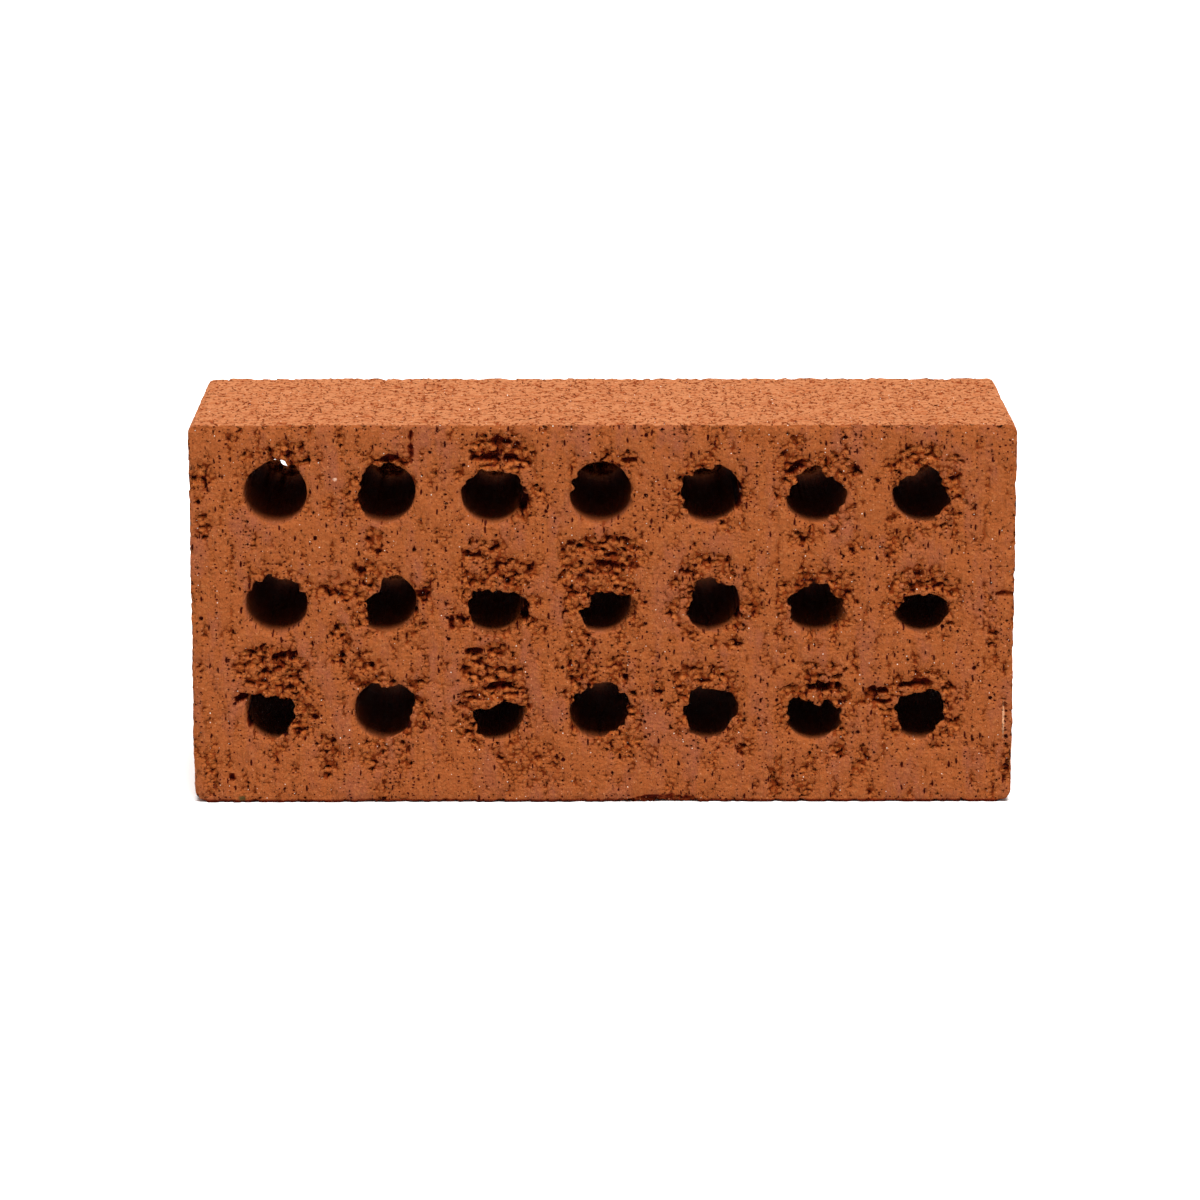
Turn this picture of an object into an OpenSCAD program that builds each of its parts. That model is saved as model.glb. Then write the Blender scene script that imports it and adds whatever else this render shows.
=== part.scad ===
// Cored clay brick: one extruded, wire-cut and fired solid with a grid of round cores.
// The brick stands on a stretcher face, so its two wire-cut bed faces look along -Y and +Y.
// Origin: the middle of the foot. X runs along the length, Z up across the bed.

/* [Brick] */
// Length of the brick, from header face to header face, along X
brick_length = 230; // [180:1:300]
// Width of the bed faces, from stretcher face to stretcher face, along Z
bed_width = 108; // [85:1:150]
// Height of the brick as laid, between the two wire-cut bed faces, along Y
brick_height = 76; // [40:1:120]

/* [Arrises] */
// Radius that the die leaves on the two upper long edges
upper_arris_radius = 2.5; // [0.5:0.5:8]
// Radius that the die leaves on the two lower long edges
lower_arris_radius = 4; // [0.5:0.5:8]

/* [Cores] */
// Diameter of each core
core_diameter = 17.5; // [10:0.5:22]
// Cores in each row, along the length
core_columns = 7; // [2:1:8]
// Rows of cores, one above the other
core_rows = 3; // [1:1:3]

/* [Shells] */
// Clay between the left header face and the first column of cores
left_shell = 15.3; // [8:0.1:24]
// Clay between the right header face and the last column of cores
right_shell = 16.8; // [8:0.1:24]
// Clay between the upper stretcher face and the top row of cores
upper_shell = 10.7; // [8:0.1:24]
// Clay between the foot and the bottom row of cores
lower_shell = 17.6; // [8:0.1:24]

/* [Hidden] */
clay_colour = "#b0602f";
// Length by which a core's cutter runs past each bed face
cutter_overrun = 1;
core_radius = core_diameter / 2;
// First and last core centres along each direction of the grid
first_column_x = -brick_length / 2 + left_shell + core_radius;
last_column_x = brick_length / 2 - right_shell - core_radius;
first_row_z = lower_shell + core_radius;
last_row_z = bed_width - upper_shell - core_radius;
column_pitch = (last_column_x - first_column_x) / max(core_columns - 1, 1);
row_pitch = (last_row_z - first_row_z) / max(core_rows - 1, 1);
$fn = 96;

// Solid from an outline drawn in X and Z, centred on Y
module extrude_along_y(depth) {
    rotate([90, 0, 0])
        linear_extrude(height = depth, center = true)
            children();
}

// One rounded band of the outline: the pair of corners at the given height, and the clay between them
module corner_pair(radius, centre_z) {
    half_span = brick_length / 2 - radius;
    for (side = [-1, 1])
        translate([side * half_span, centre_z])
            circle(r = radius);
    translate([-half_span, centre_z - radius])
        square([2 * half_span, 2 * radius]);
}

// Outline that the die gives the clay column
module column_outline() {
    upper_centre_z = bed_width - upper_arris_radius;
    corner_pair(upper_arris_radius, upper_centre_z);
    corner_pair(lower_arris_radius, lower_arris_radius);
    translate([-brick_length / 2, lower_arris_radius])
        square([brick_length, upper_centre_z - lower_arris_radius]);
}

// Round cutter of one core, through both bed faces
module core(x, z) {
    translate([x, 0, z])
        rotate([90, 0, 0])
            cylinder(r = core_radius, h = brick_height + 2 * cutter_overrun, center = true);
}

// All cores, in rows and columns
module cores() {
    for (row = [0 : core_rows - 1], column = [0 : core_columns - 1])
        core(first_column_x + column * column_pitch, first_row_z + row * row_pitch);
}

module brick() {
    color(clay_colour)
        difference() {
            extrude_along_y(brick_height)
                column_outline();
            cores();
        }
}

brick();
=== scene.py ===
import math
import random
import time

import bpy
from mathutils import Euler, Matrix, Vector


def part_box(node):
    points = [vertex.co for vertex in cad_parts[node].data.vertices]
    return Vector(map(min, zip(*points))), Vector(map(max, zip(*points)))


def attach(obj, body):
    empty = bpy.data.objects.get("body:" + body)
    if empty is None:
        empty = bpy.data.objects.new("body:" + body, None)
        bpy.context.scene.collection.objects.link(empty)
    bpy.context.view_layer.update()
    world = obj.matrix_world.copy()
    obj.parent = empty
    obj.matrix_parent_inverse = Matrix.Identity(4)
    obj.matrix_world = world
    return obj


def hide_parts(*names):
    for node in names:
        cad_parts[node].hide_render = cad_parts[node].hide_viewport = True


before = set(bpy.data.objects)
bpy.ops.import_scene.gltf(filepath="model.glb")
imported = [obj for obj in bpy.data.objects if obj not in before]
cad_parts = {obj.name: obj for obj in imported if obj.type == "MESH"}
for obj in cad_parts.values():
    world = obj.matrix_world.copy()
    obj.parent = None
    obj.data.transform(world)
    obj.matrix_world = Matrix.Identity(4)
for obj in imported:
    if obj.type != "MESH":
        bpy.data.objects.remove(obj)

started = time.time()
mm = 0.001
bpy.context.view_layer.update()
low, high = (Vector(corner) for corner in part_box("brick"))
middle = (low + high) / 2
half = (high - low) / 2


def report(stage):
    print(f"{stage}: {time.time() - started:.1f} s")


def deselectAll():
    if bpy.context.object and bpy.context.object.mode == "EDIT":
        bpy.ops.object.mode_set(mode="OBJECT")
    bpy.ops.object.select_all(action="DESELECT")


def makeActive(thing):
    deselectAll()
    thing.select_set(True)
    bpy.context.view_layer.objects.active = thing


def joined(things, name):
    # many objects become one, with its place in its mesh
    makeActive(things[0])
    for thing in things:
        thing.select_set(True)
    bpy.ops.object.join()
    bpy.ops.object.transform_apply(location=True, rotation=True, scale=True)
    whole = bpy.context.object
    whole.name = name
    return whole


def copyOf(template, place, turn=0.0):
    copy = template.copy()
    copy.data = template.data.copy()
    copy.location = place
    copy.rotation_euler = (0, 0, turn)
    bpy.context.collection.objects.link(copy)
    return copy


def removed(thing):
    mesh = thing.data
    bpy.data.objects.remove(thing)
    bpy.data.meshes.remove(mesh)


def applyModifier(thing, kind, **settings):
    makeActive(thing)
    modifier = thing.modifiers.new(kind.lower(), kind)
    for name, value in settings.items():
        setattr(modifier, name, value)
    bpy.ops.object.modifier_apply(modifier=modifier.name)


def addNode(tree, kind, inputs=None, operation=None, **settings):
    # one node with its settings; an input takes a value, another node or one of its outputs
    node = tree.nodes.new(kind if "Node" in kind else "ShaderNode" + kind)
    if operation:
        node.operation = operation
    for name, value in settings.items():
        setattr(node, name, value)
    for key, value in (inputs or {}).items():
        if isinstance(value, bpy.types.Node):
            value = next(output for output in value.outputs if output.enabled)
        if isinstance(value, bpy.types.NodeSocket):
            tree.links.new(value, node.inputs[key])
        else:
            node.inputs[key].default_value = value
    return node


def geometryTree(name):
    tree = bpy.data.node_groups.new(name, "GeometryNodeTree")
    tree.interface.new_socket("Geometry", in_out="INPUT", socket_type="NodeSocketGeometry")
    tree.interface.new_socket("Geometry", in_out="OUTPUT", socket_type="NodeSocketGeometry")
    return tree, tree.nodes.new("NodeGroupInput").outputs[0], tree.nodes.new("NodeGroupOutput").inputs[0]


def linear(hexColour):
    # sRGB hex to the linear values that shaders take
    channels = [int(hexColour[i:i + 2], 16) / 255 for i in (1, 3, 5)]
    return tuple(c / 12.92 if c <= 0.04045 else ((c + 0.055) / 1.055) ** 2.4 for c in channels) + (1.0,)


def away(rise, swing):
    # the direction that points up by rise and round to the right of the front by swing, in degrees
    rise, swing = math.radians(rise), math.radians(swing)
    return Vector((math.sin(swing) * math.cos(rise), -math.cos(swing) * math.cos(rise), math.sin(rise)))


cameraPlace = dict(lens=142.7, distance=1.365, rise=12.49, swing=-0.31, aim=(-0.6, 0, -4.1))


def addCamera():
    bpy.ops.object.camera_add()
    camera = bpy.context.object
    camera.name = "camera"
    camera.data.lens = cameraPlace["lens"]
    backwards = away(cameraPlace["rise"], cameraPlace["swing"])
    camera.location = middle + Vector(cameraPlace["aim"]) * mm + backwards * cameraPlace["distance"]
    camera.rotation_euler = backwards.to_track_quat("Z", "Y").to_euler()
    bpy.context.scene.camera = camera


addCamera()

studio = dict(
    floorSize=14.0, floorColour="#f7f6f5", floorRoughness=0.9, floorSpecular=0.1, lightHeight=2.0,
    keyStrength=5.7, keyRise=70, keySwing=14, keySpread=32,
    backStrength=0.8, backRise=62, backSwing=180, backSpread=50, skyStrength=0.3,
)


def addStudio():
    bpy.ops.mesh.primitive_plane_add(size=studio["floorSize"], location=(0, 0, low.z))
    floor = bpy.context.object
    floor.name = "floor"
    paint = bpy.data.materials.new("floorPaint")
    paint.use_nodes = True
    shader = paint.node_tree.nodes["Principled BSDF"]
    shader.inputs["Base Color"].default_value = linear(studio["floorColour"])
    shader.inputs["Roughness"].default_value = studio["floorRoughness"]
    shader.inputs["Specular IOR Level"].default_value = studio["floorSpecular"]
    floor.data.materials.append(paint)
    # a broad key light from high above the camera, and a weaker one from behind that clears the floor
    for name in ("key", "back"):
        bpy.ops.object.light_add(type="SUN", location=(0, 0, studio["lightHeight"]))
        light = bpy.context.object
        light.name = name + "Light"
        light.data.energy = studio[name + "Strength"]
        light.data.angle = math.radians(studio[name + "Spread"])
        towards = away(studio[name + "Rise"], studio[name + "Swing"])
        light.rotation_euler = towards.to_track_quat("Z", "Y").to_euler()
    world = bpy.data.worlds.new("studioWorld")
    world.use_nodes = True
    sky = world.node_tree.nodes["Background"]
    sky.inputs["Color"].default_value = (1, 1, 1, 1)
    sky.inputs["Strength"].default_value = studio["skyStrength"]
    bpy.context.scene.world = world
    bpy.context.scene.view_settings.view_transform = "Standard"


addStudio()
report("studio")

block = dict(upperArris=2.5, lowerArris=4.0, arrisSteps=6)
core = dict(
    radius=8.75, columns=7, rows=3, firstX=-90.95, pitchX=30.067, firstZ=26.35, pitchZ=31.1, points=72,
)


def selectArrises(blank, upper):
    # the edges that run along the cores, either the two on top or the two below
    bpy.ops.object.mode_set(mode="OBJECT")
    for edge in blank.data.edges:
        a, b = (blank.data.vertices[i].co for i in edge.vertices)
        along = abs(b.y - a.y) > 0.9 * (b - a).length
        edge.select = along and ((a + b).z / 2 > middle.z) == upper
    bpy.ops.object.mode_set(mode="EDIT")


def addBlock():
    deselectAll()
    bpy.ops.mesh.primitive_cube_add(size=1, location=middle, scale=half * 2)
    blank = bpy.context.object
    bpy.ops.object.transform_apply(location=True, rotation=True, scale=True)
    bpy.ops.object.mode_set(mode="EDIT")
    bpy.ops.mesh.select_mode(type="EDGE")
    for radius, upper in ((block["upperArris"], True), (block["lowerArris"], False)):
        bpy.ops.mesh.select_all(action="DESELECT")
        selectArrises(blank, upper)
        bpy.ops.mesh.bevel(offset=radius * mm, segments=block["arrisSteps"], affect="EDGES")
    bpy.ops.object.mode_set(mode="OBJECT")
    return blank


def addTurned(name, rings, points, hollow):
    # a form turned about Y: each ring of (radius, depth) is extruded from the one before it
    deselectAll()
    radius, depth = rings[0]
    bpy.ops.mesh.primitive_circle_add(vertices=points, radius=radius * mm, location=(0, depth * mm, 0),
                                      rotation=(math.pi / 2, 0, 0))
    turned = bpy.context.object
    turned.name = name
    bpy.ops.object.transform_apply(location=True, rotation=True, scale=True)
    bpy.ops.object.mode_set(mode="EDIT")
    bpy.ops.mesh.select_mode(type="EDGE")
    bpy.ops.mesh.select_all(action="SELECT")
    for nextRadius, nextDepth in rings[1:]:
        step = (0, (nextDepth - depth) * mm, 0)
        bpy.ops.mesh.extrude_edges_move(TRANSFORM_OT_translate={"value": step})
        growth = nextRadius / radius
        bpy.ops.transform.resize(value=(growth, 1, growth), center_override=(0, 0, 0))
        radius, depth = nextRadius, nextDepth
    bpy.ops.mesh.select_all(action="DESELECT")
    bpy.ops.mesh.select_non_manifold()
    if hollow:
        bpy.ops.mesh.bridge_edge_loops()
    else:
        bpy.ops.mesh.fill_holes(sides=0)
    bpy.ops.mesh.select_all(action="SELECT")
    bpy.ops.mesh.normals_make_consistent(inside=False)
    bpy.ops.object.mode_set(mode="OBJECT")
    return turned


def corePlaces():
    for row in range(core["rows"]):
        for column in range(core["columns"]):
            x = core["firstX"] + column * core["pitchX"]
            z = core["firstZ"] + row * core["pitchZ"]
            yield row, column, x, z


def cutCores(blank):
    # every core is a straight bore with a wider seat at each end, which the torn mouth fills again
    reach = half.y / mm
    seat = mouth["seatRadius"]
    deep = reach - mouth["seatDepth"]
    side = [(core["radius"], deep - mouth["seatFall"]), (seat, deep), (seat, reach + 1)]
    rings = [(radius, -depth) for radius, depth in reversed(side)] + side
    spool = addTurned("spool", rings, core["points"], hollow=False)
    cutters = [copyOf(spool, (x * mm, 0, z * mm)) for row, column, x, z in corePlaces()]
    removed(spool)
    cutter = joined(cutters, "coreCutter")
    applyModifier(blank, "BOOLEAN", object=cutter, operation="DIFFERENCE", solver="MANIFOLD")
    removed(cutter)


# how far torn clay reaches into each mouth, in mm, at 12 o'clock and on round the clock;
# a minus is where the wire bit into the wall
mouthReach = {
    2: [
        (-0.5, -0.7, 0, 0, 0, 0, 0, 0, 0, 0, 0, 0.3),
        (0.7, 0.2, -0.4, 0, 0.3, 0.3, 0, 0.3, 1.0, 1.5, 1.1, 0.5),
        (2.6, 2.3, 0.2, -2.6, -1.7, -0.4, 0, 0, 0.2, 0.6, 1.1, 2.7),
        (0.1, -0.1, 0.1, -0.6, -0.1, 0, 0, 0, 0.2, 0.5, 0.5, 0.2),
        (1.6, 0.3, 0, -0.8, 0.4, 0.9, 0, 0, 1.0, 1.4, 0.8, 1.8),
        (1.9, 3.2, 1.9, 0.6, 0.8, 0.9, 0.2, 0, -0.3, 1.1, 2.2, 1.3),
        (0.9, 1.7, 3.2, 2.5, 1.6, 1.5, 0.7, 0.2, -0.3, -0.3, 1.2, 2.2),
    ],
    1: [
        (1.5, 1.3, 0.8, 0.3, 0, 0, -0.3, 0, 0, 0.1, 0.4, 1.0),
        (1.0, 0.2, 0, -0.6, -1.4, -1.0, -0.6, 0.9, 2.8, 3.6, 4.7, 5.5),
        (4.9, 4.5, 3.4, -1.5, -2.0, -1.6, -1.2, -0.2, 1.3, 2.2, 3.5, 4.7),
        (6.2, 5.8, 3.7, -1.5, -1.5, -0.7, 0.1, 1.0, 2.5, 6.0, 5.0, 5.5),
        (1.5, 2.9, 0, -0.1, -1.0, -0.6, 0.2, 0.8, 1.7, 4.0, 3.4, 2.2),
        (2.8, 2.6, 3.4, 1.4, -0.7, -0.4, -1.0, 0, 0.7, 1.5, 3.1, 3.1),
        (6.4, 5.9, 4.1, 2.0, 0.9, 0.5, -0.2, 0, -0.2, 2.8, 4.6, 5.9),
    ],
    0: [
        (5.3, 4.9, 3.4, 4.1, 3.9, 2.9, 1.0, 0.2, -0.4, -0.3, -0.8, 3.8),
        (1.9, 0.2, -0.2, 1.1, 1.4, 1.5, 0.6, 0.3, 0.1, 0.1, -0.1, 0.3),
        (7.4, 5.8, 2.2, -1.2, -1.0, 0, 0.3, 1.4, 2.7, 3.0, 7.4, 7.8),
        (1.2, 0.3, 0.5, 0.8, 0.9, 1.9, 0.8, 0.3, 0, 0.4, 0.7, 1.7),
        (2.4, 1.8, 0.7, 0.1, 1.8, 0.7, 0.3, 0.6, 2.2, 1.6, 2.4, 1.5),
        (6.5, 6.4, 4.3, 1.4, 0.7, 0.6, 0.2, 0.2, 0.4, 0.7, 1.6, 5.4),
        (3.2, 1.9, 2.1, 2.3, 2.8, 1.8, 0.4, 0.4, 1.4, 2.0, 1.8, 3.1),
    ],
}
# how far the burr stands up from the foot of each mouth at the back, in mm
burrs = {
    2: (3.3, 4.6, 3.2, 3.9, 3.6, 2.2, 1.8),
    1: (1.6, 2.2, 1.5, 1.4, 1.8, 1.4, 1.2),
    0: (0.4, 0.9, 0.3, 1.1, 0.2, 0.6, 0.5),
}
# the torn collar, in mm; each ring has its template radius, its depth and the share of the reach it gives up
mouth = dict(
    seatRadius=11.0, seatDepth=3.0, seatFall=0.5, points=72,
    ragged=0.4, short=0.85, rounding=0.8, roundingBelow=0.2, whole=0.3, flare=0.3, lipDepth=0.6,
    burrPower=1.5, backCrown=(0.2, 2.4), backRipple=(-0.3, 0.8),
    lipCrumbs=0.6, lipCrumb=(0.7, 1.2), luck=11, crumbLuck=21,
    rings=[(12.0, 0.0, None), (10.5, 0.0, 0.0), (10.0, 0.6, 0.0), (9.5, 2.0, 0.15), (9.2, 4.5, None),
           (12.0, 4.5, None)],
)


def clockReach(reach, angle):
    # smooth reading between the twelve hours; angle runs clockwise from the top
    hour = (angle / (2 * math.pi) * 12) % 12
    before = int(hour)
    part = hour - before
    part = part * part * (3 - 2 * part)
    return reach[before % 12] * (1 - part) + reach[(before + 1) % 12] * part


def shapeCollar(collar, reach, dice):
    # pulls the rings in to the reach of the torn clay, and marks where crumbs may sit
    ripple = [dice.uniform(-1, 1) for step in range(mouth["points"] // 2)]
    crumby = collar.data.attributes.new("crumby", "FLOAT", "POINT")
    for vertex in collar.data.vertices:
        x, y, z = (value / mm for value in vertex.co)
        radius = math.hypot(x, z)
        angle = math.atan2(x, z) % (2 * math.pi)
        ring = min(mouth["rings"], key=lambda r: abs(r[0] - radius) + abs(r[1] - y))
        if ring[2] is None:
            continue
        covered = clockReach(reach, angle)
        torn = min(max(abs(covered) - mouth["whole"], 0), 1)
        rough = ripple[int(angle / (2 * math.pi) * len(ripple)) % len(ripple)] * mouth["ragged"] * torn
        # crumbs stand past a torn lip, so it stops short; a whole lip is rounded over
        lip = core["radius"] - covered * (1 - ring[2]) - rough + mouth["short"] * torn * (covered > 0)
        if ring[1] == 0.0:
            lip += mouth["flare"] + mouth["rounding"] * (1 - torn)
        elif ring[1] == mouth["lipDepth"]:
            lip += mouth["roundingBelow"] * (1 - torn)
        vertex.co.x *= lip / radius
        vertex.co.z *= lip / radius
        if ring[1] == mouth["lipDepth"]:
            crumby.data[vertex.index].value = torn


def backReach(burr, dice):
    # the wire leaves a burr at the foot, from 5 to 7 o'clock, and a few ragged hours round the rest
    foot = [burr * max(0, -math.cos(hour * math.pi / 6)) ** mouth["burrPower"] for hour in range(12)]
    lean = dice.uniform(*mouth["backCrown"])
    crown = [lean * max(0, math.cos(hour * math.pi / 6)) for hour in range(12)]
    ripple = [0 if hour in (5, 6, 7) else dice.uniform(*mouth["backRipple"]) for hour in range(12)]
    return [sum(parts) for parts in zip(foot, crown, ripple)]


def addMouths():
    # the collars of torn clay at both ends of every core, and the reach that each was given
    dice = random.Random(mouth["luck"])
    rings = [(radius, depth) for radius, depth, gives in mouth["rings"]]
    template = addTurned("collar", rings, mouth["points"], hollow=True)
    collars = []
    backReaches = {}
    for row, column, x, z in corePlaces():
        front = copyOf(template, (x * mm, low.y, z * mm))
        shapeCollar(front, mouthReach[row][column], dice)
        back = copyOf(template, (x * mm, high.y, z * mm), turn=math.pi)
        backReaches[row, column] = backReach(burrs[row][column], dice)
        shapeCollar(back, backReaches[row, column], dice)
        collars += [front, back]
    removed(template)
    return joined(collars, "mouths"), backReaches


# zones where the wire pulled crumbs out of the face:
# middle x, middle z, width, height, tilt in degrees, depth, all in mm
frontTears = [
    (-87, 99.5, 11, 6, 0, 2.4), (-97, 98.5, 6, 5, 20, 1.2), (-60, 98, 13, 2.6, 0, 1.6),
    (-28, 100, 18, 10, -6, 2.4), (-37, 96, 6, 3, 30, 1.4), (5, 98.5, 11, 3.4, -5, 1.6),
    (24, 94.5, 9, 3, 25, 1.5), (38, 92, 4, 9, 0, 1.2), (53, 98, 8, 5, 30, 2.0),
    (66, 95.5, 9, 7, -25, 1.8), (53, 103, 6, 3, 0, 1.5), (89, 99.5, 9, 5, 0, 2.6),
    (97, 94, 5, 11, 0, 1.4), (82, 96.5, 5, 4, 0, 1.4), (-64, 74, 4, 9, 0, 1.8), (-66, 67, 6, 5, 0, 1.8),
    (-74, 62, 11, 4.5, 0, 1.8), (-50, 60.5, 4, 4, 0, 2.2), (-67.5, 54, 4, 6, 0, 1.6),
    (-34, 72.5, 10, 5, 10, 1.8), (-30, 66, 20, 8, 10, 1.8), (0, 71, 24, 11, 0, 2.2),
    (-2, 64, 20, 8, 0, 1.8), (29, 68, 14, 5, 0, 1.6), (57, 76.5, 7, 3.4, 0, 1.6),
    (70, 73.5, 3, 5, 0, 1.4), (81, 75, 3, 15, 0, 1.4), (88, 64.5, 12, 5, 0, 1.4), (67, 63, 5, 6, 0, 1.4),
    (41, 58, 5, 12, 0, 1.4), (20, 57, 4, 10, 0, 1.3), (-73.5, 46, 4, 11, 0, 1.8), (-6, 42, 7, 9, 0, 1.6),
    (35, 46.5, 9, 3.5, 0, 1.3), (49.5, 47, 2.4, 8, 0, 1.3), (108, 52, 2.6, 13, 0, 1.4),
    (-93, 39, 19, 11, 0, 2.2), (-66, 38, 9, 9, 0, 1.8), (-52, 36, 3.5, 7, 0, 1.6),
    (-31, 39, 15, 14, 0, 2.0), (-6, 37, 8, 8, 0, 1.8), (4, 37, 5, 9, 0, 1.6), (27, 36, 14, 7, 8, 1.7),
    (15, 35, 3, 8, 10, 1.4), (62, 37.5, 11, 5, 0, 1.6), (62, 33.6, 9, 2.2, 0, 4.0),
    (87, 35.6, 14, 4, 12, 1.8), (77, 30, 9, 5, 0, 1.4), (8, 27, 5, 9, 0, 1.4), (5, 16.5, 11, 4.5, 0, 1.4),
    (-51, 26, 4, 9, 0, 1.4), (-77, 13.5, 4, 13, 0, 1.5), (-64, 13.5, 5, 10, 10, 1.4),
    (-56, 13, 3, 10, 0, 1.3), (-21, 12, 17, 13, 0, 1.0), (-110, 10, 2.6, 14, 0, 1.5),
    (39.5, 17, 2.4, 7, 0, 1.5), (49, 7.5, 2.4, 10, 0, 1.4), (58, 10, 2.4, 5, 0, 1.5),
    (73, 11.5, 3.4, 8, 0, 1.4), (66, 15, 4, 4, 0, 1.3), (56, 4, 5, 4, 0, 1.4),
    (113, 11.5, 2.4, 8, 0, 1.4), (97, 24, 5, 7, 0, 1.4), (-112, 92, 3, 12, 0, 1.5),
    (-111, 79, 3, 6, 0, 1.4),
]
# narrow deep slots left open between the folds: middle x, middle z, length, width, tilt, depth
frontSlots = [
    (-29, 98.6, 10, 1.3, 0, 3.6), (-27, 103.2, 8, 1.0, -12, 3.0), (-59, 98.4, 6, 1.0, 5, 3.0),
    (-53.2, 101.5, 9, 0.9, 90, 1.6), (7.5, 98.0, 4, 0.9, 0, 2.6), (53.5, 96.0, 5, 1.4, 40, 3.4),
    (77, 32.4, 6, 1.2, -8, 3.0), (79.5, 29.0, 5, 0.9, 0, 2.6), (88, 34.2, 9, 1.0, 6, 3.0),
    (62, 33.2, 9, 1.8, 2, 5.0), (-101, 30.3, 4, 1.6, 20, 3.6), (-50.5, 60, 4, 1.6, 0, 3.4),
    (-42, 52, 3.5, 0.9, 90, 2.2), (-89, 42.5, 7, 1.6, 10, 3.2), (-36, 43.5, 5, 1.4, 0, 3.0),
    (2, 68.5, 8, 1.4, -10, 3.2), (111.5, 60, 6, 0.9, 0, 1.6), (23, 66.6, 4, 1.2, 0, 3.0),
    (-29, 33.6, 7, 1.4, 8, 3.4), (-104, 7.5, 1.6, 1.6, 0, 1.6), (17, 0.2, 19, 3.4, 0, 1.6),
    (-22.6, 86.8, 3.4, 7, 0, 7.0), (-22.4, 55.6, 3.6, 6, 20, 7.0), (-52.4, 57.6, 2.2, 6, 0, 7.0),
    (-98.2, 24.8, 3.0, 6, 0, 7.0), (36.9, 56.0, 2.4, 7, 0, 7.0), (37.4, 88.0, 2.2, 7, 0, 7.0),
]

# the torn clay round a mouth: least reach that shows, and each zone's place, width and depth
lipZone = dict(least=0.7, out=1.2, width=3.6, widthShare=0.45, depth=0.8, depthShare=0.2, deepest=1.9)


def lipZones(reachOf, side):
    # the clay round a mouth is torn wherever it reaches in or was bitten out
    zones = []
    for row, column, x, z in corePlaces():
        for hour, reach in enumerate(reachOf(row, column)):
            if abs(reach) < lipZone["least"]:
                continue
            angle = side * hour * math.pi / 6
            out = core["radius"] - reach / 2 + lipZone["out"]
            width = lipZone["width"] + lipZone["widthShare"] * abs(reach)
            depth = min(lipZone["depth"] + lipZone["depthShare"] * abs(reach), lipZone["deepest"])
            zones.append((x - math.sin(angle) * out, z + math.cos(angle) * out, width, width, 0, depth))
    return zones


def addPatches(zones, name, side):
    # a flat disc for each zone, at the floor of its hollow
    face = low.y if side < 0 else high.y
    patches = []
    for x, z, width, height, tilt, depth in zones:
        deselectAll()
        bpy.ops.mesh.primitive_circle_add(vertices=16, radius=0.5 * mm, fill_type="NGON",
                                          location=(x * mm, face - side * depth * mm, low.z + z * mm))
        patch = bpy.context.object
        patch.scale = (width, height, 1)
        patch.rotation_euler = Euler((math.pi / 2, -math.radians(tilt), 0 if side < 0 else math.pi))
        patches.append(patch)
    return joined(patches, name)


# what the wire did at the back: offsets from the cores, sizes, tilt and depth, drawn between two values
backTear = dict(x=(-3, 3), z=(9, 12), width=(7, 16), height=(3, 7), tilt=(-15, 15), depth=(1.2, 2.2))
backCrack = dict(x=(-3, 3), z=(9, 11), width=(4, 8), height=(0.9, 1.5), tilt=(-12, 12), depth=(2.2, 3.2))
backStreak = dict(x=(-110, 110), z=(5, 103), width=(2.4, 5), height=(4, 13), tilt=(-8, 8),
                  depth=(1.2, 1.7))
backs = dict(luck=5, crackShare=0.5, streaks=26)


def drawnZone(dice, ranges, x=0.0, z=0.0):
    # one zone with every value drawn from its range, in the ranges' own order
    offsetX, offsetZ, *rest = (dice.uniform(*ends) for ends in ranges.values())
    return (x + offsetX, z + offsetZ, *rest)


def backZones():
    # the back's own torn zones and cracks, the same on every run
    dice = random.Random(backs["luck"])
    tears, cracks = [], []
    for row, column, x, z in corePlaces():
        tears.append(drawnZone(dice, backTear, x, z))
        if dice.random() < backs["crackShare"]:
            cracks.append(drawnZone(dice, backCrack, x, z))
    for streak in range(backs["streaks"]):
        tears.append(drawnZone(dice, backStreak))
    return tears, cracks


def lipCrumbTree(seed):
    # scatters rounded crumbs along the torn lips
    tree, geometryIn, geometryOut = geometryTree("lipCrumbs")
    torn = addNode(tree, "GeometryNodeInputNamedAttribute", {"Name": "crumby"}, data_type="FLOAT")
    chance = addNode(tree, "Math", {0: torn, 1: mouth["lipCrumbs"]}, "MULTIPLY")
    keep = addNode(tree, "FunctionNodeRandomValue", {"Probability": chance, "Seed": seed},
        data_type="BOOLEAN")
    points = addNode(tree, "GeometryNodeMeshToPoints", {"Mesh": geometryIn, "Selection": keep})
    small, large = mouth["lipCrumb"]
    ball = addNode(tree, "GeometryNodeMeshIcoSphere", {"Radius": mm, "Subdivisions": 2})
    turn = addNode(tree, "FunctionNodeRandomValue", {0: (0, 0, 0), 1: (6.28, 6.28, 6.28),
        "Seed": seed + 1}, data_type="FLOAT_VECTOR")
    girth = addNode(tree, "FunctionNodeRandomValue", {0: (small,) * 3, 1: (large, large, large * 1.5),
        "Seed": seed + 2}, data_type="FLOAT_VECTOR")
    placed = addNode(tree, "GeometryNodeInstanceOnPoints", {"Points": points,
        "Instance": ball.outputs["Mesh"], "Rotation": turn, "Scale": girth})
    real = addNode(tree, "GeometryNodeRealizeInstances", {0: placed})
    tree.links.new(real.outputs[0], geometryOut)
    return tree


def addLipCrumbs(mouths):
    crumbs = copyOf(mouths, (0, 0, 0))
    crumbs.name = "lipCrumbs"
    applyModifier(crumbs, "NODES", node_group=lipCrumbTree(mouth["crumbLuck"]))
    return crumbs


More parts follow.
